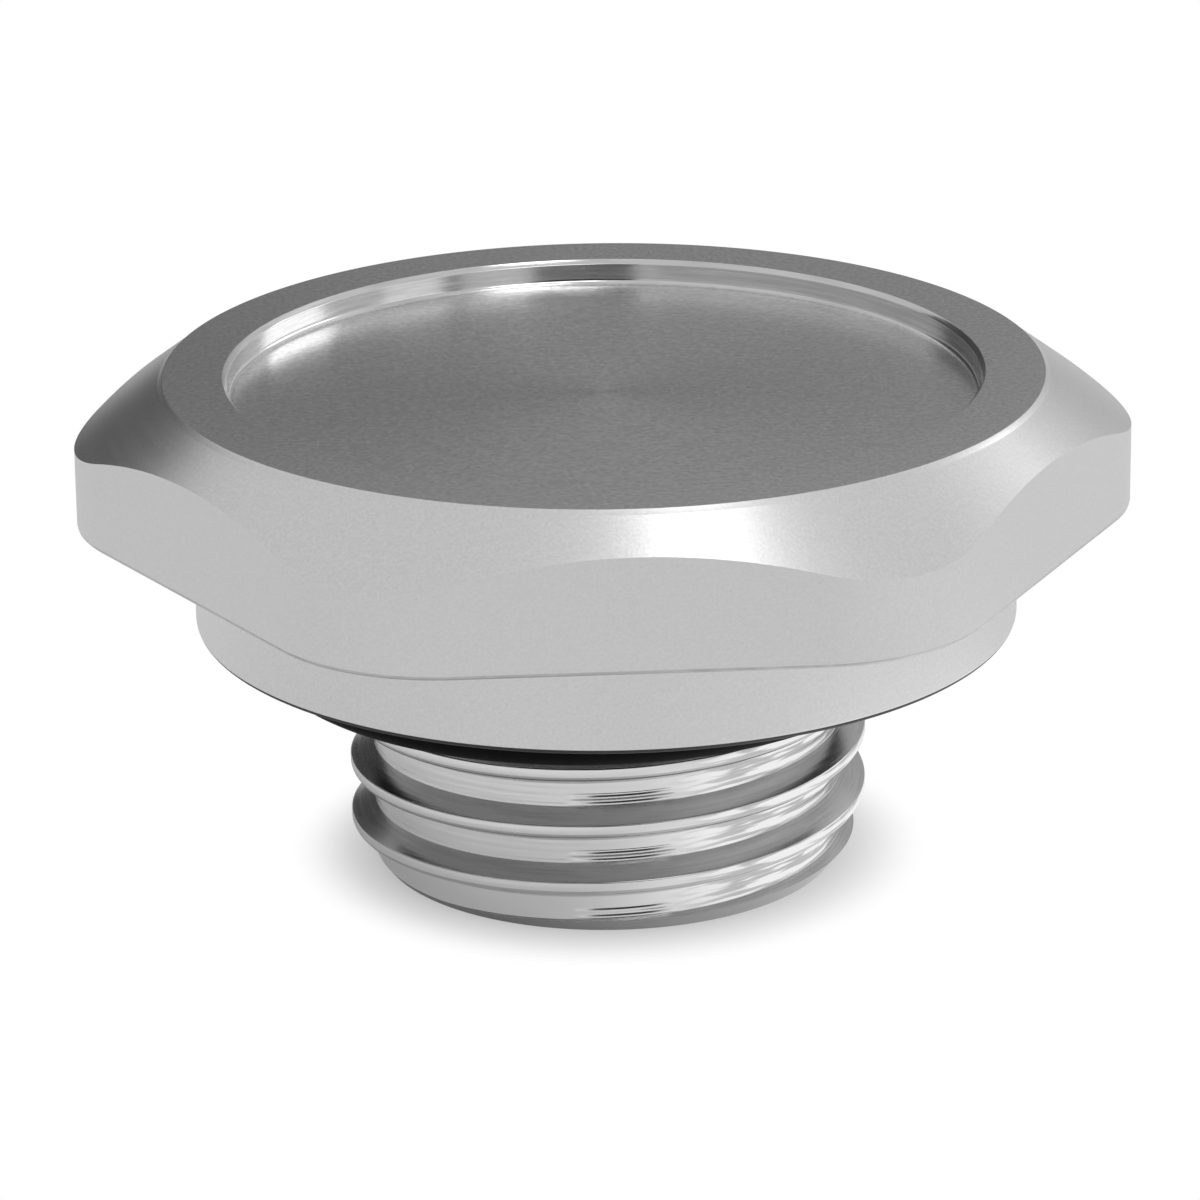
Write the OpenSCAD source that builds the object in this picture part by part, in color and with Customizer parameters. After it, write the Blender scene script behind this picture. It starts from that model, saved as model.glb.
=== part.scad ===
// Screw-in oil filler cap: a hexagonal head, a round collar and a coarse threaded neck,
// all turned from one bar of aluminium, with a loose rubber ring under the collar.
// The cap stands on the end of its neck, and +Z runs up the thread axis.
// The origin is the centre of the neck's end face, and two corners of the head lie on the X axis.

/* [Head] */
// Width across the flats of the head
head_across_flats = 64.5; // [54:0.1:80]
// Rounding of the head's six upright corners
head_corner_r = 12.1; // [4:0.1:20]
// Height of the head, from the collar to the rim
head_h = 10.0; // [8:0.1:16]
// Width of the turned chamfer, measured inwards from the middle of a flat
chamfer_w = 2.55; // [1:0.05:5]
// Slope of the turned chamfer below the horizontal
chamfer_angle = 36.8; // [25:0.1:45]
// Size of the small break on turned edges
edge_break = 0.3; // [0.1:0.05:0.5]

/* [Recess] */
// Width of the flat rim between the chamfer and the recess
rim_w = 4.6; // [2:0.1:8]
// Depth of the round recess in the top
recess_depth = 1.7; // [1:0.1:4]
// Rounding between the recess floor and its wall
recess_fillet_r = 0.4; // [0.2:0.1:0.8]

/* [Collar] */
// Height of the round collar under the head
collar_h = 7.1; // [4:0.1:14]
// Width of the seat land, which meets the filler's rim outside the seal ring
seat_land_w = 3.5; // [2:0.1:8]

/* [Neck] */
// Length of the neck below the collar
neck_h = 17.0; // [12:0.1:26]
// Wall between the thread's root and the bore
neck_wall = 3.4; // [2:0.1:6]
// Metal left between the bore's end and the recess floor
crown_t = 12.4; // [8:0.1:20]
// Chamfer at the bore's mouth
bore_chamfer = 0.6; // [0.2:0.1:1.5]
// Rounding between the bore's end and its wall
bore_fillet_r = 1.5; // [0.5:0.1:3]

/* [Thread] */
// Outer diameter of the thread
thread_d = 35.0; // [28:0.1:44]
// Rise of the thread in one turn
thread_pitch = 4.0; // [3.5:0.1:5]
// Depth of the thread from crest to root
thread_depth = 1.6; // [1:0.1:2]
// Width of the flat crest
crest_w = 0.8; // [0.4:0.05:1.2]
// Width of the flat root between two ridges
root_w = 1.6; // [0.8:0.05:2]
// Height of the crest's middle where the ridge crosses the +X axis, above the end face
thread_start_h = 0.83; // [0:0.01:3.5]
// Height of the lead chamfer at the end of the neck
lead_h = 2.5; // [1:0.1:4]
// Amount by which the lead chamfer's small end is under the root radius
lead_under = 0.4; // [0.1:0.1:1]
// Height of the plain relief between the thread and the collar
relief_h = 3.6; // [2.5:0.1:6]
// Amount by which the relief is cut below the thread's root
relief_under = 0.3; // [0.1:0.1:1]

/* [Seal ring] */
// Thickness of the ring's round section
seal_section_d = 3.5; // [2:0.1:5]
// Gap all round between the thread's crest and the ring when they are concentric
seal_clearance = 1.35; // [0.2:0.05:2]
// Gap left at the side where the ring has slid up to the thread
seal_side_gap = 0.05; // [0.02:0.01:0.2]
// Depth of the shallow pocket that the ring sits in
seal_pocket_depth = 0.3; // [0.1:0.1:1.5]
// Room outside the ring in its pocket
seal_pocket_room = 0.5; // [0.2:0.1:2]

/* [Hidden] */

// Round faces are true curves, and this sets how finely they are drawn
$fn = 96;
overlap = 1;

// Heights up the axis
collar_z = neck_h;
head_z = collar_z + collar_h;
top_z = head_z + head_h;
bore_h = top_z - recess_depth - crown_t;
pocket_top_z = collar_z + seal_pocket_depth;

// Head
flat_r = head_across_flats / 2;
corner_centre_r = (flat_r - head_corner_r) / cos(30);
corner_reach_r = corner_centre_r + head_corner_r;
// The corner rounds stand this little proud of the flats, so that they cross them cleanly
corner_lap = 0.005;
land_r = flat_r - chamfer_w;
recess_r = land_r - rim_w;
chamfer_drop = tan(chamfer_angle);

// Thread
thread_r = thread_d / 2;
root_r = thread_r - thread_depth;
relief_r = root_r - relief_under;
lead_r = root_r - lead_under;
bore_r = root_r - neck_wall;
thread_top_z = neck_h - relief_h;
// How far a flank runs along the axis for each millimetre that it rises
flank_run = (thread_pitch - crest_w - root_w) / 2 / thread_depth;
ridge_margin = 0.3;
sections_per_turn = 48;
section_step = 360 / sections_per_turn;
first_section = -floor((thread_start_h + thread_pitch) * sections_per_turn / thread_pitch);
last_section = ceil((thread_top_z + thread_pitch) * sections_per_turn / thread_pitch);
section_count = last_section - first_section + 1;

// Seal ring
seal_r = thread_r + seal_clearance + seal_section_d / 2;
seal_shift = seal_clearance - seal_side_gap;
pocket_r = seal_r + seal_section_d / 2 + seal_shift + seal_pocket_room;
collar_r = pocket_r + seat_land_w;

// Half the width of the thread's ridge at a given radius
function ridge_half_w(r) = crest_w / 2 + (thread_r - r) * flank_run;

// The ridge's section, as [radius, height from its middle], from the inside round to the inside
function ridge_section() = let (inner = root_r - ridge_margin, outer = thread_r + ridge_margin) [
    [inner, -ridge_half_w(inner)],
    [outer, -ridge_half_w(outer)],
    [outer, ridge_half_w(outer)],
    [inner, ridge_half_w(inner)]
];

// One corner of one section, placed on the helix
function ridge_point(corner, step) = let (angle = step * section_step) [
    corner[0] * cos(angle),
    corner[0] * sin(angle),
    corner[1] + thread_start_h + thread_pitch * angle / 360
];

// A hexagonal outline with its corners rounded: three slabs across the flats and six round corners
module rounded_hexagon() {
    slab_l = corner_centre_r;
    for (turn = [0:60:120]) {
        rotate(turn + 30)
            square([2 * flat_r, slab_l], center = true);
    }
    for (turn = [0:60:300]) {
        rotate(turn)
            translate([corner_centre_r, 0])
                circle(r = head_corner_r + corner_lap);
    }
}

// What the lathe leaves of the bar: the underside, the chamfer, the broken edge and the rim
module head_turning() {
    reach = corner_reach_r + overlap;
    rotate_extrude()
        polygon([
            [0, head_z],
            [reach, head_z],
            [reach, top_z - edge_break - (reach - land_r) * chamfer_drop],
            [land_r, top_z - edge_break],
            [land_r - edge_break, top_z],
            [0, top_z]
        ]);
}

module head() {
    intersection() {
        translate([0, 0, head_z])
            linear_extrude(height = head_h)
                rounded_hexagon();
        head_turning();
    }
}

// The round recess in the top, with a broken lip and a small fillet round its floor
module recess_cut() {
    floor_z = top_z - recess_depth;
    rotate_extrude()
        difference() {
            polygon([
                [0, floor_z],
                [recess_r, floor_z],
                [recess_r, top_z - edge_break],
                [recess_r + edge_break + overlap, top_z + overlap],
                [0, top_z + overlap]
            ]);
            difference() {
                translate([recess_r - recess_fillet_r, floor_z - overlap])
                    square([recess_fillet_r + overlap, recess_fillet_r + overlap]);
                translate([recess_r - recess_fillet_r, floor_z + recess_fillet_r])
                    circle(r = recess_fillet_r);
            }
        }
}

// The collar, with the ring's pocket in its underside inside the seat land
module collar() {
    rotate_extrude()
        polygon([
            [0, pocket_top_z],
            [pocket_r, pocket_top_z],
            [pocket_r, collar_z],
            [collar_r - edge_break, collar_z],
            [collar_r, collar_z + edge_break],
            [collar_r, head_z + overlap],
            [0, head_z + overlap]
        ]);
}

// The space that the threaded part may fill: it ends in the lead chamfer and at the relief
module thread_envelope() {
    rotate_extrude()
        polygon([
            [0, 0],
            [lead_r, 0],
            [thread_r, lead_h],
            [thread_r, thread_top_z],
            [0, thread_top_z]
        ]);
}

// The ridge as a strip of sections wound right-handed up the neck, open-ended past both limits
module thread_ridge() {
    section = ridge_section();
    sides = len(section);
    points = [
        for (step = [first_section:last_section])
            for (corner = section)
                ridge_point(corner, step)
    ];
    last_start = (section_count - 1) * sides;
    strip = [
        for (i = [0:section_count - 2])
            for (side = [0:sides - 1])
                let (here = i * sides, next = here + sides, other = (side + 1) % sides)
                    for (face = [
                        [here + side, here + other, next + side],
                        [here + other, next + other, next + side]
                    ])
                        face
    ];
    ends = [
        [0, 2, 1],
        [0, 3, 2],
        [last_start, last_start + 1, last_start + 2],
        [last_start, last_start + 2, last_start + 3]
    ];
    polyhedron(points = points, faces = concat(strip, ends));
}

// The threaded part: a core at the root with the ridge round it, trimmed by the envelope
module threaded_part() {
    intersection() {
        union() {
            translate([0, 0, -overlap])
                cylinder(r = root_r, h = thread_top_z + 2 * overlap);
            thread_ridge();
        }
        thread_envelope();
    }
}

// The plain relief that joins the threaded part to the collar
module relief() {
    relief_base_z = thread_top_z - overlap;
    translate([0, 0, relief_base_z])
        cylinder(r = relief_r, h = pocket_top_z + overlap - relief_base_z);
}

// The blind bore that lightens the cap, with a chamfered mouth and a rounded end
module bore_cut() {
    rotate_extrude()
        difference() {
            polygon([
                [0, -overlap],
                [bore_r + bore_chamfer + overlap, -overlap],
                [bore_r, bore_chamfer],
                [bore_r, bore_h],
                [0, bore_h]
            ]);
            difference() {
                translate([bore_r - bore_fillet_r, bore_h - bore_fillet_r])
                    square([bore_fillet_r + overlap, bore_fillet_r + overlap]);
                translate([bore_r - bore_fillet_r, bore_h - bore_fillet_r])
                    circle(r = bore_fillet_r);
            }
        }
}

module cap_body() {
    color([0.77, 0.78, 0.79])
        difference() {
            union() {
                head();
                collar();
                relief();
                threaded_part();
            }
            recess_cut();
            bore_cut();
        }
}

// The ring lies against its pocket's roof, slid sideways until it all but touches the thread
module seal_ring() {
    color([0.07, 0.07, 0.075])
        translate([-seal_shift, 0, pocket_top_z - seal_section_d / 2])
            rotate_extrude()
                translate([seal_r, 0])
                    circle(r = seal_section_d / 2);
}

cap_body();
seal_ring();
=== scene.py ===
# %% [markdown]
# A screw-in oil filler cap, finished on top of its packed model.
#
# The real cap is turned from one bar of aluminium: a hexagonal head with a turned chamfer, a shallow
# recess, a collar and a coarse thread. A black rubber ring sits under the collar. The packed model has
# the right sizes, but its faces are flat steps. Bright metal shows every step, so both pieces are made
# again here from smooth strips, in the same place and at the same size.

import math
from collections import namedtuple

import bmesh
import bpy
from mathutils import Matrix, Vector


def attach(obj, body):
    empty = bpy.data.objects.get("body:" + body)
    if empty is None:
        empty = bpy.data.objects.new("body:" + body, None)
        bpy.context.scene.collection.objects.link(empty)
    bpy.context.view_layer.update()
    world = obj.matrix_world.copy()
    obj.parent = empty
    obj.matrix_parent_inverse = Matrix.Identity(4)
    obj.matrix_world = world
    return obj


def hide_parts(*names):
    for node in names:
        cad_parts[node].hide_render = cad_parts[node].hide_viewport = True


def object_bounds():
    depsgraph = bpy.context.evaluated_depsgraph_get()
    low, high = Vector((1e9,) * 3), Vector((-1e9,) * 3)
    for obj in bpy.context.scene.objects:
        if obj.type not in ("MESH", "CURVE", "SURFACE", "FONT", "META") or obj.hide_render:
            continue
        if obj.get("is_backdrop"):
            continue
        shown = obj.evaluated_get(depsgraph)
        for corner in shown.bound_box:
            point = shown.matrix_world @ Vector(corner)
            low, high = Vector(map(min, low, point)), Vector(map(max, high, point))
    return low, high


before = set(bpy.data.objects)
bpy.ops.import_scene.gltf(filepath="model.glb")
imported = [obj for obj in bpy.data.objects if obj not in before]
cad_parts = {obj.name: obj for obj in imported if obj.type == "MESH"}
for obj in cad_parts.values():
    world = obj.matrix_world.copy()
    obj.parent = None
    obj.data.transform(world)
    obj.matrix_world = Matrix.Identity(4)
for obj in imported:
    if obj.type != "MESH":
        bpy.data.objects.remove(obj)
cad_low, cad_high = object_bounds()
print("packed nodes:", sorted(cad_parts), "box:", tuple(cad_low), tuple(cad_high))

# %% [markdown]
# Every size below is one that a maker would put on the drawing, in millimetres. The rest is worked out
# from them. The two sizes that the frame holds, the height and the width across the flats, are read
# from it, so the drawing and the model can't drift apart.

# %% Sizes of the head
MM = 0.001
HEAD_ACROSS_FLATS = cad_high.y - cad_low.y
TOP_Z = cad_high.z
HEAD_CORNER_R = 12.1 * MM
HEAD_H = 10.0 * MM
CHAMFER_W = 2.55 * MM
CHAMFER_SLOPE = math.tan(math.radians(36.8))
EDGE_BREAK = 0.3 * MM
RIM_W = 4.6 * MM
RECESS_DEPTH = 1.7 * MM
RECESS_FILLET_R = 0.4 * MM

flat_r = HEAD_ACROSS_FLATS / 2
corner_centre_r = (flat_r - HEAD_CORNER_R) / math.cos(math.radians(30))
land_r = flat_r - CHAMFER_W
recess_r = land_r - RIM_W
recess_z = TOP_Z - RECESS_DEPTH
head_z = TOP_Z - HEAD_H
print("head: %.2f mm across the flats, %.2f mm tall" % (HEAD_ACROSS_FLATS / MM, HEAD_H / MM))

# %% Sizes of the thread, the neck and the collar
THREAD_R = 17.5 * MM
THREAD_PITCH = 4.0 * MM
THREAD_DEPTH = 1.6 * MM
CREST_W = 0.8 * MM
ROOT_W = 1.6 * MM
THREAD_START_H = 0.83 * MM
CREST_ROUNDING = 0.08 * MM
CREST_UNDER_ROUNDING = 0.3 * MM
ROOT_ROUNDING = 0.42 * MM
LEAD_H = 2.5 * MM
LEAD_UNDER = 0.4 * MM
RELIEF_H = 3.6 * MM
RELIEF_UNDER = 0.3 * MM
COLLAR_H = 7.1 * MM
SEAT_LAND_W = 3.5 * MM
POCKET_DEPTH = 0.3 * MM
POCKET_ROOM = 0.5 * MM
NECK_WALL = 3.4 * MM
CROWN_T = 12.4 * MM
BORE_CHAMFER = 0.6 * MM
BORE_FILLET_R = 1.5 * MM

collar_z = head_z - COLLAR_H
pocket_top_z = collar_z + POCKET_DEPTH
root_r = THREAD_R - THREAD_DEPTH
relief_r = root_r - RELIEF_UNDER
lead_r = root_r - LEAD_UNDER
bore_r = root_r - NECK_WALL
bore_h = recess_z - CROWN_T
thread_top_z = collar_z - RELIEF_H
print("neck: %.2f mm long, thread up to %.2f mm" % (collar_z / MM, thread_top_z / MM))

# %% Sizes of the ring
RING_SECTION_R = 1.75 * MM
RING_CLEARANCE = 1.35 * MM
RING_SIDE_GAP = 0.05 * MM

ring_r = THREAD_R + RING_CLEARANCE + RING_SECTION_R
ring_shift = RING_CLEARANCE - RING_SIDE_GAP
ring_z = pocket_top_z - RING_SECTION_R
pocket_r = ring_r + RING_SECTION_R + ring_shift + POCKET_ROOM
collar_r = pocket_r + SEAT_LAND_W
print("collar: %.2f mm across" % (2 * collar_r / MM))

# %% [markdown]
# A turned part can be drawn as a stack of rings: each ring is a closed loop of edges, and extruding it
# makes the next strip of faces. After each extrusion the new points are put in place by a rule, such as
# "on a circle of this radius at this height". A hexagonal head only needs one more rule, for a circle
# whose radius follows a hexagon with rounded corners. All rings have their points at the same angles,
# so every strip is made of clean four-sided faces, and the cone of the chamfer comes out exact.

# %% Rules that put a ring's points in place
STEPS_ROUND = 480


def on_circle(radius, height):
    """A rule that moves a point out or in to a circle."""

    def place(co):
        across = Vector((co.x, co.y)).normalized() * radius
        return Vector((across.x, across.y, height))

    return place


def hexagon_radius(co):
    """How far the head's rounded hexagon is from the axis, in the direction of a point."""
    sixth = math.radians(60)
    from_corner = abs((math.atan2(co.y, co.x) + sixth / 2) % sixth - sixth / 2)
    round_ends = math.atan2(
        HEAD_CORNER_R * math.sin(sixth / 2),
        corner_centre_r + HEAD_CORNER_R * math.cos(sixth / 2),
    )
    if from_corner > round_ends:
        return flat_r / math.cos(sixth / 2 - from_corner)
    offset = corner_centre_r * math.sin(from_corner)
    return corner_centre_r * math.cos(from_corner) + math.sqrt(HEAD_CORNER_R**2 - offset**2)


def on_hexagon(height):
    """A rule that moves a point to the outline of the head, at one height."""
    return lambda co: on_circle(hexagon_radius(co), height)(co)


def on_scallop(co):
    """A rule that moves a point to where the turned chamfer cuts the side of the head."""
    radius = hexagon_radius(co)
    return on_circle(radius, TOP_Z - EDGE_BREAK - (radius - land_r) * CHAMFER_SLOPE)(co)


print("corner of the head: %.2f mm from the axis" % (hexagon_radius(Vector((1, 0, 0))) / MM))

# %% Extruding a ring
def new_ring(bm, place):
    """A closed loop of edges to start from."""
    verts = bmesh.ops.create_circle(bm, segments=STEPS_ROUND, radius=1)["verts"]
    for vert in verts:
        vert.co = place(vert.co)
    return list({edge for vert in verts for edge in vert.link_edges})


def extrude_ring(bm, ring, place):
    """Extrudes a closed loop of edges and moves the new loop to where the rule says."""
    made = bmesh.ops.extrude_edge_only(bm, edges=ring)["geom"]
    verts = {item for item in made if isinstance(item, bmesh.types.BMVert)}
    for vert in verts:
        vert.co = place(vert.co)
    edges = [item for item in made if isinstance(item, bmesh.types.BMEdge)]
    return [edge for edge in edges if verts.issuperset(edge.verts)]


def extrude_rings(bm, ring, places):
    """Extrudes a ring through a list of rules, and returns every new ring on the way."""
    rings = []
    for place in places:
        ring = extrude_ring(bm, ring, place)
        rings.append(ring)
    return rings


POLE_R = 0.01 * MM


def close_ring(bm, ring, height):
    """Closes a ring with a fan of faces round its centre."""
    last = extrude_ring(bm, ring, on_circle(POLE_R, height))
    verts = list({vert for edge in last for vert in edge.verts})
    bmesh.ops.pointmerge(bm, verts=verts, merge_co=(0, 0, height))


def fillet(centre_r, centre_z, radius, start, end, steps):
    """Rules for a round stretch of a turned profile, from one angle to another."""
    angles = [math.radians(start + (end - start) * step / steps) for step in range(steps + 1)]
    return [
        on_circle(centre_r + radius * math.cos(angle), centre_z + radius * math.sin(angle))
        for angle in angles
    ]


print("each ring has", STEPS_ROUND, "points")

# %% [markdown]
# The head and the collar are one stack of rings. It starts on the roof of the ring's pocket, runs out
# under the collar, up its side, out under the head, up the flats, in over the chamfer and the rim, and
# down into the recess. A lathe leaves no knife edges, so the rings at the corners are bevelled at the
# end. The corners round the rim are only just blunted, the collar's are rounder, and the head's lower
# edge is the roundest. The scalloped edge, where the chamfer runs out into the flats, stays as crisp as
# the cutter left it.

# %% The head and the collar
POCKET_SEAM_R = 19.0 * MM

cap = bmesh.new()
seam_ring = new_ring(cap, on_circle(POCKET_SEAM_R, pocket_top_z))
pocket_rings = extrude_rings(
    cap, seam_ring, [on_circle(pocket_r, pocket_top_z), on_circle(pocket_r, collar_z)]
)
collar_rings = extrude_rings(
    cap,
    pocket_rings[-1],
    [
        on_circle(collar_r - EDGE_BREAK, collar_z),
        on_circle(collar_r, collar_z + EDGE_BREAK),
        on_circle(collar_r, head_z),
    ],
)
foot_ring, scallop_ring = extrude_rings(cap, collar_rings[-1], [on_hexagon(head_z), on_scallop])
rim_rings = extrude_rings(
    cap,
    scallop_ring,
    [
        on_circle(land_r, TOP_Z - EDGE_BREAK),
        on_circle(land_r - EDGE_BREAK, TOP_Z),
        on_circle(recess_r + EDGE_BREAK, TOP_Z),
        on_circle(recess_r, TOP_Z - EDGE_BREAK),
    ],
)
print("head and collar:", len(cap.faces), "faces")

# %% The floor of the recess
FLOOR_STEPS = 12
FLOOR_FILLET_STEPS = 6

floor_edge_r = recess_r - RECESS_FILLET_R
corner = fillet(floor_edge_r, recess_z + RECESS_FILLET_R, RECESS_FILLET_R, 0, -90, FLOOR_FILLET_STEPS)
inwards = [on_circle(floor_edge_r * (1 - step / FLOOR_STEPS), recess_z) for step in range(1, FLOOR_STEPS)]
floor_rings = extrude_rings(cap, rim_rings[-1], corner + inwards)
close_ring(cap, floor_rings[-1], recess_z)
print("with the recess:", len(cap.faces), "faces")

# %% Blunting the corners
RIM_ROUNDING = 0.035 * MM
COLLAR_ROUNDING = 0.18 * MM
HEAD_FOOT_ROUNDING = 0.32 * MM
ROUNDING_SEGMENTS = 3

for rings, rounding in (
    (collar_rings, COLLAR_ROUNDING),
    ([foot_ring], HEAD_FOOT_ROUNDING),
    (rim_rings, RIM_ROUNDING),
):
    bmesh.ops.bevel(
        cap,
        geom=[edge for ring in rings for edge in ring if edge.is_valid],
        offset=rounding,
        offset_type="OFFSET",
        segments=ROUNDING_SEGMENTS,
        profile=0.5,
        affect="EDGES",
        material=-1,
        clamp_overlap=True,
    )
print("with blunt corners:", len(cap.faces), "faces")

# %% [markdown]
# The thread is easiest to make straight. Unrolled, it is a rack: the ridges are straight bars that
# climb one pitch over one turn, and the lead chamfer, a cone on the lathe, is a plain slanting cut. So
# the ridge's outline is drawn as a line, its corners are rounded, and it is extruded over one turn. The
# rack is sliced where the neck begins and ends and where the chamfer cuts it, and what stands proud of
# the chamfer is pressed down onto it. Then the rack is wrapped round the neck. Its two ends meet, since
# the ridges have climbed by just one pitch.

# %% The ridges as a straight rack
TURN_L = 2 * math.pi * THREAD_R
RIDGES_BELOW = 2
RIDGES_ABOVE = 4
THREAD_SEGMENTS = 5


def draw_line(bm, points):
    """One vertex, extruded from point to point."""
    verts = [bm.verts.new(points[0])]
    for point in points[1:]:
        end = bmesh.ops.extrude_vert_indiv(bm, verts=[verts[-1]])["verts"][0]
        end.co = point
        verts.append(end)
    return verts


def ridge_outline(middle_z):
    """The four corners of one ridge, from the root below it to the root above it."""
    half_foot = (THREAD_PITCH - ROOT_W) / 2
    half_crest = CREST_W / 2
    return [
        Vector((0, root_r, middle_z - half_foot)),
        Vector((0, THREAD_R, middle_z - half_crest)),
        Vector((0, THREAD_R, middle_z + half_crest)),
        Vector((0, root_r, middle_z + half_foot)),
    ]


rack = bmesh.new()
outline = [
    corner
    for ridge in range(-RIDGES_BELOW, RIDGES_ABOVE + 1)
    for corner in ridge_outline(THREAD_START_H + ridge * THREAD_PITCH)
]
line = draw_line(rack, outline)
crests_below = line[1::4]
crests_above = line[2::4]
roots = [vert for vert in line[1:-1] if vert.co.y == root_r]
for corners, rounding in (
    (crests_below, CREST_UNDER_ROUNDING),
    (crests_above, CREST_ROUNDING),
    (roots, ROOT_ROUNDING),
):
    bmesh.ops.bevel(
        rack,
        geom=corners,
        offset=rounding,
        offset_type="OFFSET",
        segments=THREAD_SEGMENTS,
        profile=0.5,
        affect="VERTICES",
        material=-1,
    )
made = bmesh.ops.extrude_edge_only(rack, edges=rack.edges[:])["geom"]
far_end = [item for item in made if isinstance(item, bmesh.types.BMVert)]
bmesh.ops.translate(rack, verts=far_end, vec=(TURN_L, 0, THREAD_PITCH))
long_edges = [edge for edge in rack.edges if abs(edge.verts[0].co.x - edge.verts[1].co.x) > TURN_L / 2]
bmesh.ops.subdivide_edges(rack, edges=long_edges, cuts=STEPS_ROUND - 1, use_grid_fill=True)
print("rack:", len(rack.faces), "faces")

# %% Slicing the rack and pressing it down to the lead chamfer
SLICE_REACH = 0.001 * MM
WELD_REACH = 0.002 * MM

lead_run = (THREAD_R - lead_r) / LEAD_H


def slice_rack(point, normal, drop):
    """Slices the rack with a plane, and drops what lies on the normal's side if asked to."""
    geom = rack.verts[:] + rack.edges[:] + rack.faces[:]
    bmesh.ops.bisect_plane(
        rack, geom=geom, dist=SLICE_REACH, plane_co=point, plane_no=normal, clear_outer=drop
    )


slice_rack((0, 0, 0), (0, 0, -1), drop=True)
slice_rack((0, 0, thread_top_z), (0, 0, 1), drop=True)
slice_rack((0, lead_r, 0), Vector((0, 1, -lead_run)).normalized(), drop=False)
for vert in rack.verts:
    vert.co.z = max(vert.co.z, 0)
    vert.co.y = min(vert.co.y, lead_r + lead_run * vert.co.z)
print("sliced rack:", len(rack.faces), "faces")

# %% Wrapping the rack round the neck
for vert in rack.verts:
    angle = vert.co.x / THREAD_R
    vert.co = Vector((vert.co.y * math.cos(angle), vert.co.y * math.sin(angle), vert.co.z))
bmesh.ops.remove_doubles(rack, verts=rack.verts[:], dist=WELD_REACH)
print("thread:", len(rack.faces), "faces")

# %% [markdown]
# The thread's strip is still open at both ends. From its lower end the rings go in across the end face,
# round the mouth of the bore, up the bore and over its end. From its upper end they step in to the
# relief and run up to the collar's pocket. There a bridge of faces joins them to the head's first ring,
# and the cap is one closed skin.

# %% Closing the neck
BORE_FILLET_STEPS = 8
LEVEL_REACH = 0.01 * MM


def open_ring(bm, height):
    """The loop of open edges at one height."""
    return [
        edge
        for edge in bm.edges
        if edge.is_boundary and all(abs(vert.co.z - height) < LEVEL_REACH for vert in edge.verts)
    ]


extrude_rings(
    rack,
    open_ring(rack, thread_top_z),
    [on_circle(relief_r, thread_top_z), on_circle(relief_r, pocket_top_z)],
)
bore_edge_r = bore_r - BORE_FILLET_R
bore_rings = extrude_rings(
    rack,
    open_ring(rack, 0),
    [on_circle(bore_r + BORE_CHAMFER, 0), on_circle(bore_r, BORE_CHAMFER)]
    + fillet(bore_edge_r, bore_h - BORE_FILLET_R, BORE_FILLET_R, 0, 90, BORE_FILLET_STEPS)
    + [on_circle(bore_edge_r / 2, bore_h)],
)
close_ring(rack, bore_rings[-1], bore_h)
print("neck:", len(rack.faces), "faces")

# %% Joining the neck to the head
neck_mesh = bpy.data.meshes.new("neck_strip")
rack.to_mesh(neck_mesh)
rack.free()
cap.from_mesh(neck_mesh)
bpy.data.meshes.remove(neck_mesh)
open_edges = [edge for edge in cap.edges if edge.is_boundary]
bmesh.ops.bridge_loops(cap, edges=open_edges)
bmesh.ops.recalc_face_normals(cap, faces=cap.faces[:])
still_open = sum(1 for edge in cap.edges if not edge.is_manifold)
print("cap:", len(cap.faces), "faces,", still_open, "open edges")

# %% [markdown]
# Smooth shading bends the light over every edge, so a wide flat face next to a thin round strip would
# look swollen. Two things stop that. Edges that turn by more than a set angle are marked sharp, and a
# weighted normals modifier lets the large faces decide the direction at each shared point.

# %% Making an object from a mesh
SHARP_ANGLE = math.radians(35)
print("edges are sharp from", round(math.degrees(SHARP_ANGLE)), "degrees")


def new_piece(name, bm, node):
    """Turns a bmesh into a piece that stands for a CAD node."""
    for face in bm.faces:
        face.smooth = True
    for edge in bm.edges:
        edge.smooth = edge.calc_face_angle(0) < SHARP_ANGLE
    mesh = bpy.data.meshes.new(name)
    bm.to_mesh(mesh)
    bm.free()
    piece = bpy.data.objects.new(name, mesh)
    bpy.context.scene.collection.objects.link(piece)
    weights = piece.modifiers.new("face_weights", "WEIGHTED_NORMAL")
    weights.keep_sharp = True
    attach(piece, "root")
    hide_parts(node)
    return piece


# %% [markdown]
# Faces are sorted into finishes by where they are and which way they face. The flats of the head were
# milled on the bar. The wall of the recess and the thread's crests and roots came out bright. The
# thread's flanks, the end of the neck and the head's lower edge, which face up or down, are a little
# rougher, and their darker grey is painted shade. The lead chamfer is duller and darker still, painted
# shade for the shadow under the neck, and the collar's lower edge is near black with painted shade. The
# rest was turned to satin: the level faces, the collar, and the chamfer, which shows the tool's marks.

# %% Sorting the faces into finishes
LEVEL, COLLAR, CHAMFER, FLATS, PAINTED_SHADE_EDGE, WALL, THREAD, FLANKS, LEAD, BORE = range(10)
# How far a face points up or down tells most finishes apart. An upright face is near 0
UPRIGHT = 0.02
FLANK_NORMAL = 0.3
CHAMFER_NORMAL = 0.95
EDGE_NORMAL = -0.3
UNDERSIDE_NORMAL = -0.99
# The lead chamfer slopes between these two
LEAD_LOW = -0.66
LEAD_HIGH = -0.58


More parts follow.
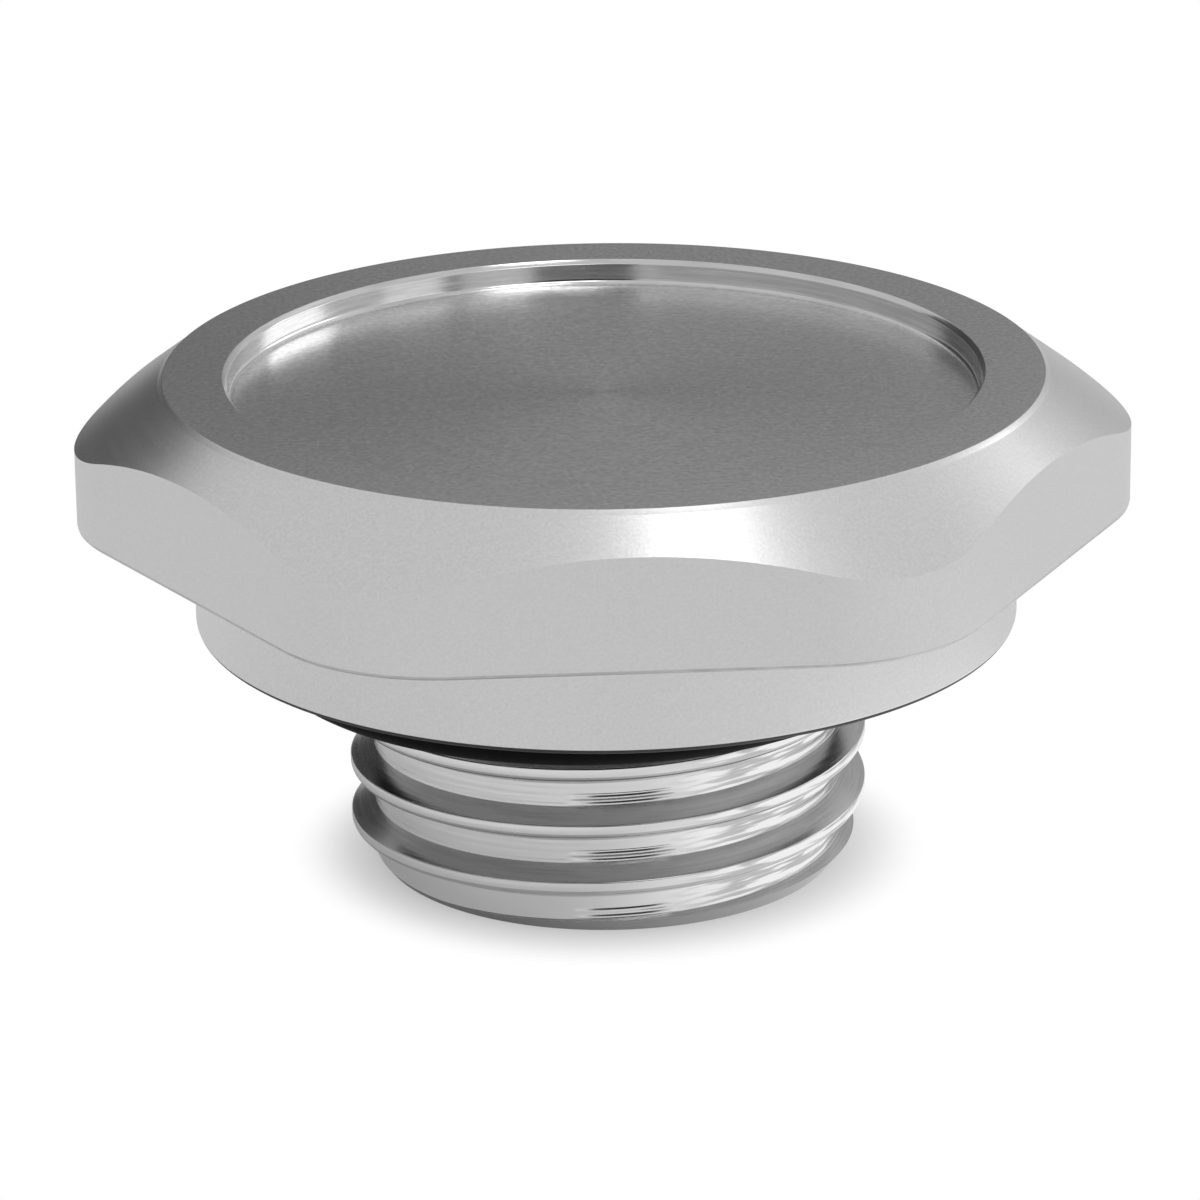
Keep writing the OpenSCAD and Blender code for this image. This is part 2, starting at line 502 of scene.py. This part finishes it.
def finish_of(face):
    """Which finish a face of the cap has."""
    middle = face.calc_center_median()
    radius = math.hypot(middle.x, middle.y)
    if middle.z > thread_top_z and face.normal.z < UNDERSIDE_NORMAL:
        return LEVEL
    if middle.z > head_z and radius > land_r and abs(face.normal.z) < UPRIGHT:
        return FLATS
    if radius > collar_r - 2 * EDGE_BREAK and middle.z < head_z:
        # Down-facing faces of the collar's lower edge get a near-black grey: painted shade
        return PAINTED_SHADE_EDGE if UNDERSIDE_NORMAL < face.normal.z < EDGE_NORMAL else COLLAR
    if middle.z > head_z and radius > land_r - EDGE_BREAK and face.normal.z < CHAMFER_NORMAL:
        # Down-facing faces at the head's lower edge get the flanks' darker grey: painted shade
        return FLANKS if face.normal.z < -UPRIGHT else CHAMFER
    if middle.z > recess_z and recess_r - RECESS_FILLET_R / 2 < radius < recess_r + EDGE_BREAK:
        return WALL
    if middle.z < pocket_top_z and radius < bore_r + BORE_CHAMFER:
        return BORE
    # The lead chamfer's dark grey is painted shade for the shadow under the neck
    if middle.z < LEAD_H and radius > lead_r and LEAD_LOW < face.normal.z < LEAD_HIGH:
        return LEAD
    if middle.z < pocket_top_z and radius < THREAD_R + RIM_ROUNDING:
        # Faces that point up or down get the flanks' darker grey: painted shade
        return FLANKS if abs(face.normal.z) > FLANK_NORMAL else THREAD
    return LEVEL


for face in cap.faces:
    face.material_index = finish_of(face)
turned_cap = new_piece("turned_cap", cap, node="cap_body")
print("turned_cap:", len(turned_cap.data.polygons), "faces")

# %% [markdown]
# The rubber ring is a small circle spun round the axis. It is a little too large for the thread, so on
# the real cap it has slid to one side until it all but touches the thread.

# %% The rubber ring
RING_SECTION_STEPS = 40
RING_STEPS = 240

ring = bmesh.new()
bmesh.ops.create_circle(ring, segments=RING_SECTION_STEPS, radius=RING_SECTION_R)
bmesh.ops.rotate(ring, verts=ring.verts[:], matrix=Matrix.Rotation(math.radians(90), 3, "X"))
bmesh.ops.translate(ring, verts=ring.verts[:], vec=(ring_r, 0, 0))
bmesh.ops.spin(
    ring,
    geom=ring.verts[:] + ring.edges[:],
    cent=(0, 0, 0),
    axis=(0, 0, 1),
    angle=math.radians(360),
    steps=RING_STEPS,
    use_merge=True,
)
bmesh.ops.translate(ring, verts=ring.verts[:], vec=(-ring_shift, 0, ring_z))
bmesh.ops.recalc_face_normals(ring, faces=ring.faces[:])
rubber_ring = new_piece("rubber_ring", ring, node="seal_ring")
print("rubber_ring:", len(rubber_ring.data.polygons), "faces")

# %% [markdown]
# Shader sums are easier to read as sums. This class wraps the output of a node: adding or multiplying
# it makes the Math node that does so, and any other node comes from one method.

# %% A wire between shader nodes
def grey(value):
    """A neutral colour."""
    return (value, value, value, 1)


def set_stops(ramp, stops):
    """Gives a colour ramp its stops, as places and greys."""
    for spot, _ in stops[2:]:
        ramp.elements.new(spot)
    for element, (spot, shade) in zip(ramp.elements, stops):
        element.position = spot
        element.color = grey(shade)


class Wire:
    """A node's output, which can be used in a Python sum."""

    def __init__(self, tree, socket=None):
        self.tree = tree
        self.socket = socket

    def node(self, kind, settings, inputs, output=0):
        """Adds a node with its settings, fills or links its sockets, and returns one output."""
        made = self.tree.nodes.new(kind)
        for name, value in settings.items():
            if name == "stops":
                set_stops(made.color_ramp, value)
            else:
                setattr(made, name, value)
        for name, value in inputs.items():
            if isinstance(value, Wire):
                self.tree.links.new(value.socket, made.inputs[name])
            else:
                made.inputs[name].default_value = value
        return Wire(self.tree, made.outputs[output])

    def math(self, operation, *terms):
        """Adds a Math node."""
        return self.node("ShaderNodeMath", {"operation": operation}, dict(enumerate(terms)))

    def __add__(self, other):
        return self.math("ADD", self, other)

    def __sub__(self, other):
        return self.math("SUBTRACT", self, other)

    def __rsub__(self, other):
        return self.math("SUBTRACT", other, self)

    def __mul__(self, other):
        return self.math("MULTIPLY", self, other)

    def __truediv__(self, other):
        return self.math("DIVIDE", self, other)

    def __rtruediv__(self, other):
        return self.math("DIVIDE", other, self)

    __radd__ = __add__
    __rmul__ = __mul__

    def split(self):
        """The three parts of a vector, as wires."""
        parts = self.node("ShaderNodeSeparateXYZ", {}, {0: self}).socket.node.outputs
        return [Wire(self.tree, part) for part in parts]


print("operators with the wire on the right:", [name for name in vars(Wire) if name.startswith("__r")])

# %% A new finish
METAL_GREY = 0.77


def new_finish(name, **constants):
    """A material, its shader with the constant sockets set, and the wire to build its pattern from."""
    material = bpy.data.materials.new(name)
    material.use_nodes = True
    shader = material.node_tree.nodes["Principled BSDF"]
    for socket, value in constants.items():
        shader.inputs[socket.replace("_", " ")].default_value = value
    return material, shader, Wire(material.node_tree)


def feed(wire, shader, socket):
    """Joins a wire to one of a shader's sockets."""
    wire.tree.links.new(wire.socket, shader.inputs[socket])


def between(factor, first, second):
    """A grey between two others, by a pattern."""
    return factor.node(
        "ShaderNodeMix", {"data_type": "RGBA"}, {0: factor, 6: grey(first), 7: grey(second)}, 2
    )


def bump(height, strength, depth):
    """The direction of a surface that a pattern has made uneven."""
    return height.node("ShaderNodeBump", {}, {"Height": height, "Strength": strength, "Distance": depth})


print("plain metal is", grey(METAL_GREY))

# %% [markdown]
# Turning leaves fine grooves that run round the axis. Their pattern only needs two things at each point:
# how far the tool has travelled, and the direction round the axis. A noise that changes fast with the
# first and slowly with the second gives rings that fade in and out as they go round. Its fineness says
# how many light and dark spots fit in a metre.

# %% Patterns on the turned metal
Place = namedtuple("Place", "point radius height across along")


def distance_from(x, y):
    """The distance from the point where both wires are zero."""
    return x.math("SQRT", x * x + y * y)


def place_on(wire):
    """A point, its distance from the axis, its height, and the direction round the axis."""
    point = wire.node("ShaderNodeTexCoord", {}, {}, "Object")
    x, y, z = point.split()
    radius = distance_from(x, y)
    return Place(point, radius, z, x / radius, y / radius)


def turning_lines(place, travel, fineness, wander):
    """Noise that runs in rings: fine along the tool's travel, slow round the axis."""
    spot = travel.node(
        "ShaderNodeCombineXYZ",
        {},
        {0: travel * fineness, 1: place.across * wander, 2: place.along * wander},
    )
    return travel.node(
        "ShaderNodeTexNoise", {}, {"Vector": spot, "Scale": 1.0, "Detail": 2.0, "Roughness": 0.5}
    )


def fine_grain(place, fineness):
    """A speckle without direction."""
    return place.point.node(
        "ShaderNodeTexNoise", {}, {"Vector": place.point, "Scale": fineness, "Detail": 1.0}
    )


print("a place on the cap is", Place._fields)

# %% The satin turned finishes
TOOL_SLOPE = 0.75
SATIN_LINES = 4500
SATIN_WANDER = 2.0
SATIN_RELIEF = 0.2
SATIN_DEPTH = 0.02 * MM
MARK_ROUGHNESS = 0.3
NOISE_MIDDLE = 0.5
# A quarter turn, so that the stretch runs across the grooves
ACROSS_GROOVES = 0.25


def satin_finish(name, roughness, stretch, fineness, contrast, marks=0.0):
    """Satin turned metal: how far it stretches reflections, its grain, and the tool's marks if any."""
    satin, shader, wire = new_finish(
        name,
        Metallic=1.0,
        Roughness=roughness,
        Anisotropic=stretch,
        Anisotropic_Rotation=ACROSS_GROOVES,
    )
    place = place_on(wire)
    relief = fine_grain(place, fineness)
    feed(between(relief, METAL_GREY - contrast, METAL_GREY + contrast), shader, "Base Color")
    if marks:
        travel = place.radius - place.height * TOOL_SLOPE
        lines = turning_lines(place, travel, SATIN_LINES, SATIN_WANDER)
        relief = relief + lines * marks
        feed(roughness + (lines - NOISE_MIDDLE) * marks * MARK_ROUGHNESS, shader, "Roughness")
    feed(bump(relief, SATIN_RELIEF, SATIN_DEPTH), shader, "Normal")
    return satin


level = satin_finish("satin_level", roughness=0.27, stretch=0.3, fineness=3200, contrast=0.18)
collar = satin_finish("satin_collar", roughness=0.3, stretch=0.3, fineness=5500, contrast=0.07)
chamfer = satin_finish(
    "satin_chamfer", roughness=0.33, stretch=0.45, fineness=5000, contrast=0.09, marks=0.3
)
print("satin finishes:", level.name, collar.name, chamfer.name)

# %% [markdown]
# The other cuts need no stretch. On the flats, the recess wall, the flanks and the lead chamfer one
# pattern, a grain or the lines of the tool, sets the colour, the relief and the roughness together. So
# one function makes all four. The bore, the collar's edge and the thread are each made by themselves.

# %% Finishes that follow one pattern
def cut_finish(name, pattern, greys, relief, depth, roughness):
    """Metal whose grey and roughness go between two values with a pattern, which also gives relief."""
    finish, shader, wire = new_finish(name, Metallic=1.0)
    made = pattern(place_on(wire))
    smoothest, roughest = roughness
    feed(between(made, *greys), shader, "Base Color")
    feed(bump(made, relief, depth), shader, "Normal")
    feed(smoothest + made * (roughest - smoothest), shader, "Roughness")
    return finish


flats = cut_finish(
    "milled_flats",
    lambda place: fine_grain(place, fineness=5000),
    greys=(0.71, 0.83),
    relief=0.15,
    depth=0.02 * MM,
    roughness=(0.32, 0.42),
)
wall = cut_finish(
    "bright_recess_wall",
    lambda place: turning_lines(place, place.height, fineness=3500, wander=5.0),
    greys=(0.55, 0.85),
    relief=0.5,
    depth=0.03 * MM,
    roughness=(0.08, 0.22),
)
# The flanks' greys are darker than the crests' and roots': painted shade. The tool's lines are their own
flanks = cut_finish(
    "cut_flanks_painted_shade",
    lambda place: turning_lines(place, place.radius, fineness=4000, wander=3.0),
    greys=(0.42, 0.7),
    relief=0.3,
    depth=0.03 * MM,
    roughness=(0.16, 0.32),
)
# The lead chamfer's very dark greys are painted shade for the shadow under the neck; its roughness is its
# own
lead = cut_finish(
    "dull_lead_chamfer_painted_shade",
    lambda place: turning_lines(place, place.radius, fineness=4000, wander=2.0),
    greys=(0.26, 0.38),
    relief=0.3,
    depth=0.02 * MM,
    roughness=(0.25, 0.4),
)
print("cut finishes:", flats.name, wall.name, flanks.name, lead.name)

# %% The drilled bore, which has one grey all over
BORE_LINES = 4000
BORE_WANDER = 3.0
BORE_RELIEF = 0.4
BORE_DEPTH = 0.04 * MM
BORE_SMOOTHEST = 0.28
BORE_ROUGHEST = 0.48

bore, bore_shader, wire = new_finish("drilled_bore", Base_Color=grey(METAL_GREY), Metallic=1.0)
place = place_on(wire)
lines = turning_lines(place, place.radius + place.height, BORE_LINES, BORE_WANDER)
feed(bump(lines, BORE_RELIEF, BORE_DEPTH), bore_shader, "Normal")
feed(BORE_SMOOTHEST + lines * (BORE_ROUGHEST - BORE_SMOOTHEST), bore_shader, "Roughness")
print("bore finish:", bore.name)

# %% The collar's lower edge, near black with painted shade
EDGE_GRAIN = 5000
# The near-black greys are painted shade; the grain and the roughness are the metal's own
PAINTED_SHADE_DARKEST = 0.04
PAINTED_SHADE_LIGHTEST = 0.1

edge, painted_shade_edge_shader, wire = new_finish("painted_shade_edge", Metallic=1.0, Roughness=0.5)
grain = fine_grain(place_on(wire), EDGE_GRAIN)
feed(between(grain, PAINTED_SHADE_DARKEST, PAINTED_SHADE_LIGHTEST), painted_shade_edge_shader, "Base Color")
print("edge finish:", edge.name)

# %% [markdown]
# The marks of the threading tool climb with the thread and come round again on every turn. So their
# place is the height above the root's lower edge, which is a helix, and the remainder of it after whole
# turns. Two kinds show. Ripples run low in the root over a short way at the front, and on the right the
# metal is torn into short dull streaks.

# %% Where a point is on the thread
# The root's lower edge at the front, a quarter turn before the ridge crosses the X axis
root_low_z = THREAD_START_H - THREAD_PITCH / 4 + (THREAD_PITCH - ROOT_W) / 2


def ramp_between(value, start, end, low, high):
    """Goes smoothly from one number to another as a value goes from start to end."""
    settings = {"interpolation_type": "SMOOTHSTEP"}
    return value.node("ShaderNodeMapRange", settings, {0: value, 1: start, 2: end, 3: low, 4: high})


def climb_from_root(place):
    """How far a point is above the root's lower edge, from 0 to one pitch."""
    turn = place.across.math("ARCTAN2", place.across, place.along * -1) / (2 * math.pi)
    climb = place.height - turn * THREAD_PITCH - root_low_z
    return climb.math("FLOORED_MODULO", climb, THREAD_PITCH)


print("root's lower edge at the front: %.2f mm" % (root_low_z / MM))

# %% The bright crests and roots of the thread
# The ripples: their spacing, how far up the root they reach, and the direction where they show
MARK_SPACING = 0.46 * MM
MARKS_TO = 0.82 * MM
MARKS_AT = math.radians(-90)
# They fade in between these two cosines of the angle to that direction
MARKS_FADE = 0.968
MARKS_FULL = 0.99
# The relief of the ripples and of the tool's lines
MARKS_HEIGHT = 0.85
LINES_HEIGHT = 1.2
THREAD_RELIEF = 1.0
GROOVE_DEPTH = 0.035 * MM
THREAD_SMOOTHEST = 0.1
THREAD_ROUGHEST = 0.22
# The torn streaks fade in between these two shares of the way to the right
STREAKS_FROM = 0.1
STREAKS_FULL = 0.5
# Their noise is torn metal below the first value, and bright above the second
STREAK_TORN = 0.42
STREAK_BRIGHT = 0.54
THREAD_GREY = 0.88
TORN_GREY = 0.5

bright, bright_shader, wire = new_finish("bright_cut_thread", Metallic=1.0)
place = place_on(wire)
climb = climb_from_root(place)
lines = turning_lines(place, climb, fineness=2300, wander=1.0)
streaks = turning_lines(place, climb, fineness=2600, wander=3.5)

towards_marks = place.across * math.cos(MARKS_AT) + place.along * math.sin(MARKS_AT)
deep = ramp_between(towards_marks, MARKS_FADE, MARKS_FULL, 0.0, 1.0)
low = ramp_between(climb, MARKS_TO, MARKS_TO + MARK_SPACING / 4, 1.0, 0.0)
ripples = climb.math("SINE", climb * (2 * math.pi / MARK_SPACING)) * deep * low
on_the_right = ramp_between(place.across, STREAKS_FROM, STREAKS_FULL, 0.0, 1.0)
torn = ramp_between(streaks, STREAK_TORN, STREAK_BRIGHT, 1.0, 0.0) * on_the_right

feed(between(torn, THREAD_GREY, TORN_GREY), bright_shader, "Base Color")
relief = ripples * MARKS_HEIGHT + lines * LINES_HEIGHT
feed(bump(relief, THREAD_RELIEF, GROOVE_DEPTH), bright_shader, "Normal")
feed(THREAD_SMOOTHEST + lines * (THREAD_ROUGHEST - THREAD_SMOOTHEST), bright_shader, "Roughness")
print("thread finish:", len(bright.node_tree.nodes), "nodes")

# %% The rubber
RUBBER_GREY = 0.006
RUBBER_SHINE = 0.04
RUBBER_GRAIN = 3000
RUBBER_RELIEF = 0.2
RUBBER_DEPTH = 0.02 * MM
RUBBER_SMOOTHEST = 0.4
RUBBER_ROUGHEST = 0.54

rubber, rubber_shader, wire = new_finish(
    "moulded_rubber", Base_Color=grey(RUBBER_GREY), Metallic=0.0, Specular_IOR_Level=RUBBER_SHINE
)
speckle = fine_grain(place_on(wire), RUBBER_GRAIN)
feed(bump(speckle, RUBBER_RELIEF, RUBBER_DEPTH), rubber_shader, "Normal")
feed(RUBBER_SMOOTHEST + speckle * (RUBBER_ROUGHEST - RUBBER_SMOOTHEST), rubber_shader, "Roughness")
print("rubber finish:", rubber.name)

# %% Giving the pieces their finishes
for finish in (level, collar, chamfer, flats, edge, wall, bright, flanks, lead, bore):
    turned_cap.data.materials.append(finish)
rubber_ring.data.materials.append(rubber)
print("finishes on the cap:", [slot.name for slot in turned_cap.data.materials])

# %% [markdown]
# The grooves stretch the reflections across them. Blender works out their direction from each mesh's
# texture box, so the box is made a cube round the axis: then the direction runs in true circles.

# %% A round texture box
for piece in (turned_cap, rubber_ring):
    piece.data.use_auto_texspace = False
    piece.data.texspace_location = (0, 0, TOP_Z / 2)
    piece.data.texspace_size = (TOP_Z, TOP_Z, TOP_Z)
print("texture boxes: cubes round", tuple(turned_cap.data.texspace_location))

# %% [markdown]
# Bright metal is a picture of the room, so the room is set up from what the photographed cap shows. The
# cap stands in a pale tent. A small lamp hangs almost straight above it. A soft lamp stands low on the
# right, a dim one right of the camera, a bright one over the camera, and a weak one at the back right.
# Two dark cards take the place of the camera on its stand and of a lamp's thin stand. Behind the cap the
# tent is open and dark, most of all a little to the left, which is what makes the level top look grey.
# From there a dim side wall runs round the left.

# %% The tent
ROOM_GREY = 0.66
LAMP_DISTANCE = 0.8
# Each lamp's name, azimuth and elevation in degrees, width, height and brightness
LAMPS = (
    ("lamp_above", -8, 79, 0.2, 0.14, 3.7),
    ("lamp_right", 21, 22, 0.44, 0.26, 1.6),
    ("lamp_front_right", -31, 12, 0.28, 0.3, 0.5),
    ("lamp_over_camera", -72, 46, 0.4, 0.25, 2.4),
    ("lamp_back_right", 39, 38, 0.28, 0.24, 0.15),
)

world = bpy.data.worlds.new("pale_tent")
world.use_nodes = True
world.node_tree.nodes["Background"].inputs["Color"].default_value = grey(ROOM_GREY)
bpy.context.scene.world = world


def direction(azimuth, elevation):
    """A unit vector from the cap. Azimuth 0 is the right, and 90 is away from the camera."""
    around = math.radians(azimuth)
    upwards = math.radians(elevation)
    outwards = math.cos(upwards)
    return Vector((math.cos(around) * outwards, math.sin(around) * outwards, math.sin(upwards)))


def face_the_cap(thing, azimuth, elevation, distance):
    """Puts a lamp or a card at a distance from the cap and turns it to look at it."""
    way = direction(azimuth, elevation)
    thing.location = way * distance
    thing.rotation_mode = "QUATERNION"
    thing.rotation_quaternion = way.to_track_quat("Z", "Y")


def softbox(name, azimuth, elevation, width, tall, brightness):
    """A rectangular lamp. Its brightness is what a camera would read off its face."""
    lamp = bpy.data.lights.new(name, "AREA")
    lamp.shape = "RECTANGLE"
    lamp.size = width
    lamp.size_y = tall
    lamp.energy = brightness * math.pi * width * tall
    holder = bpy.data.objects.new(name, lamp)
    bpy.context.scene.collection.objects.link(holder)
    face_the_cap(holder, azimuth, elevation, LAMP_DISTANCE)
    return holder


lamps = [softbox(*lamp) for lamp in LAMPS]
print("lamps:", [lamp.name for lamp in lamps])

# %% The dark cards, which only show in the metal
PAPER_ROUGHNESS = 0.9


def stage_piece(name, bm, material):
    """An object of the room, which the camera doesn't see unless that is changed."""
    mesh = bpy.data.meshes.new(name)
    bm.to_mesh(mesh)
    bm.free()
    thing = bpy.data.objects.new(name, mesh)
    bpy.context.scene.collection.objects.link(thing)
    mesh.materials.append(material)
    thing.visible_camera = False
    thing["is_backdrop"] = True
    return thing


def dark_card(name, azimuth, elevation, distance, width, tall, shade):
    """A flat card of a dark grey."""
    bm = bmesh.new()
    bmesh.ops.create_grid(bm, x_segments=1, y_segments=1, size=0.5)
    bmesh.ops.scale(bm, verts=bm.verts[:], vec=(width, tall, 1))
    material, _, _ = new_finish(name, Base_Color=grey(shade), Roughness=PAPER_ROUGHNESS)
    card = stage_piece(name, bm, material)
    face_the_cap(card, azimuth, elevation, distance)
    return card


cards = [
    dark_card("camera_stand", -87.5, 18, distance=0.75, width=0.42, tall=0.46, shade=0.02),
    dark_card("lamp_stand", -45.5, 14, distance=0.7, width=0.06, tall=0.4, shade=0.3),
]
print("dark cards:", [card.name for card in cards])

# %% The opening behind the cap
OPENING_R = 0.75
OPENING_TALL = 0.44
OPENING_START = 55
OPENING_END = 250
OPENING_STEPS = 90
# Azimuths in degrees, and how bright the room is there: open behind the cap, then a dim side wall
OPENING_GREYS = (
    (OPENING_START, 0.5),
    (70, 0.45),
    (80, 0.2),
    (92, 0.13),
    (105, 0.07),
    (132, 0.06),
    (142, 0.42),
    (OPENING_END, 0.45),
)

opening_span = math.radians(OPENING_END - OPENING_START)
bm = bmesh.new()
foot = bm.verts.new(direction(OPENING_START, 0) * OPENING_R)
top = bmesh.ops.extrude_vert_indiv(bm, verts=[foot])["verts"][0]
top.co.z += OPENING_TALL
bmesh.ops.spin(
    bm,
    geom=bm.verts[:] + bm.edges[:],
    cent=(0, 0, 0),
    axis=(0, 0, 1),
    angle=opening_span,
    steps=OPENING_STEPS,
)
opening, opening_shader, wire = new_finish(
    "opening_behind",
    Base_Color=grey(0),
    Roughness=1.0,
    Specular_IOR_Level=0.0,
    Emission_Strength=1.0,
)
place = place_on(wire)
angle = place.along.math("ARCTAN2", place.along, place.across)
azimuth = angle.math("FLOORED_MODULO", angle, 2 * math.pi)
part = (azimuth - math.radians(OPENING_START)) / opening_span
stops = [((at - OPENING_START) / (OPENING_END - OPENING_START), value) for at, value in OPENING_GREYS]
shade = part.node("ShaderNodeValToRGB", {"stops": stops}, {"Fac": part})
feed(shade, opening_shader, "Emission Color")
stage_piece("opening", bm, opening)
print("opening:", OPENING_END - OPENING_START, "degrees wide")

# %% [markdown]
# The floor is white paper. To the camera it glows a clean white, held back close round the neck so that
# the real shadow stays. In the metal the paper glows only a little, so it looks pale grey, save for a
# painted pool of light on the right of the neck, which glows fully.

# %% The floor
FLOOR_HALF = 3.0
FLOOR_GREY = 0.9
# To the camera: the glow under the cap, and the two distances from the axis between which it grows full
SHADOW_GLOW = 0.4
SHADOW_FROM = 15.5 * MM
SHADOW_TO = 22 * MM
# In the metal: the glow of the paper and of the painted pool of light, and where the pool is and fades
PAPER_GLOW = 0.12
POOL_GLOW = 1.0
POOL_X = 36 * MM
POOL_Y = -10 * MM
POOL_FROM = 20 * MM
POOL_TO = 46 * MM

bm = bmesh.new()
bmesh.ops.create_grid(bm, x_segments=1, y_segments=1, size=FLOOR_HALF)
paper, paper_shader, wire = new_finish(
    "white_paper", Base_Color=grey(FLOOR_GREY), Roughness=PAPER_ROUGHNESS, Specular_IOR_Level=0.0
)
place = place_on(wire)
x, y, _ = place.point.split()
outside_shadow = ramp_between(place.radius, SHADOW_FROM, SHADOW_TO, SHADOW_GLOW, 1.0)
from_pool = distance_from(x - POOL_X, y - POOL_Y)
painted_pool_glow = ramp_between(from_pool, POOL_FROM, POOL_TO, POOL_GLOW, PAPER_GLOW)

from_camera, through_glass, from_metal = (
    wire.node("ShaderNodeLightPath", {}, {}, ray)
    for ray in ("Is Camera Ray", "Is Transmission Ray", "Is Glossy Ray")
)
glow_share = (from_camera + through_glass) * outside_shadow + from_metal * painted_pool_glow
lit_paper = Wire(wire.tree, paper_shader.outputs["BSDF"])
glow = wire.node("ShaderNodeEmission", {}, {"Color": grey(1), "Strength": 1.0})
mixed = wire.node("ShaderNodeMixShader", {}, {0: glow_share, 1: lit_paper, 2: glow})
wire.tree.links.new(mixed.socket, wire.tree.nodes["Material Output"].inputs["Surface"])
floor = stage_piece("floor", bm, paper)
floor.visible_camera = True
print("floor:", len(paper.node_tree.nodes), "nodes, %.1f m wide" % (2 * FLOOR_HALF))

# %% [markdown]
# The camera's place was worked out from the edges of the cap in the photograph. It looks down at the
# cap from a little left of square, from close by, and it was held with a slight tilt.

# %% The camera
# Angles are in degrees, and the lens and the sensor in millimetres as a camera gives them
CAMERA_AZIMUTH = -3.467
CAMERA_ELEVATION = 19.648
CAMERA_ROLL = 0.638
CAMERA_DISTANCE = 415.01 * MM
LENS = 184.37
SENSOR_W = 36.0
CLIP_NEAR = 0.01
CLIP_FAR = 20.0
# The point it looks at, measured to the right of the axis and down from the top
LOOK_ACROSS = -0.42 * MM
LOOK_UNDER_TOP = 16.461 * MM

azimuth = math.radians(CAMERA_AZIMUTH)
elevation = math.radians(CAMERA_ELEVATION)
back = Vector(
    (
        math.sin(azimuth) * math.cos(elevation),
        -math.cos(azimuth) * math.cos(elevation),
        math.sin(elevation),
    )
)
right = Vector((math.cos(azimuth), math.sin(azimuth), 0))
up = back.cross(right)
look_at = right * LOOK_ACROSS + Vector((0, 0, TOP_Z - LOOK_UNDER_TOP))

lens = bpy.data.cameras.new("camera")
lens.lens = LENS
lens.sensor_width = SENSOR_W
lens.clip_start = CLIP_NEAR
lens.clip_end = CLIP_FAR
camera = bpy.data.objects.new("camera", lens)
bpy.context.scene.collection.objects.link(camera)
turn = Matrix((right, up, back)).transposed() @ Matrix.Rotation(-math.radians(CAMERA_ROLL), 3, "Z")
camera.matrix_world = Matrix.Translation(look_at + back * CAMERA_DISTANCE) @ turn.to_4x4()
bpy.context.scene.camera = camera
bpy.context.scene.view_settings.view_transform = "Standard"
print("camera at", tuple(round(value, 4) for value in camera.matrix_world.translation))

# %% [markdown]
# Last, the box of the finished pieces is printed, as the box of the packed model was at the start, so
# that the two can be compared.

# %% The box of the finished pieces
low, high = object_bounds()
print("visual box:", tuple(low), tuple(high))
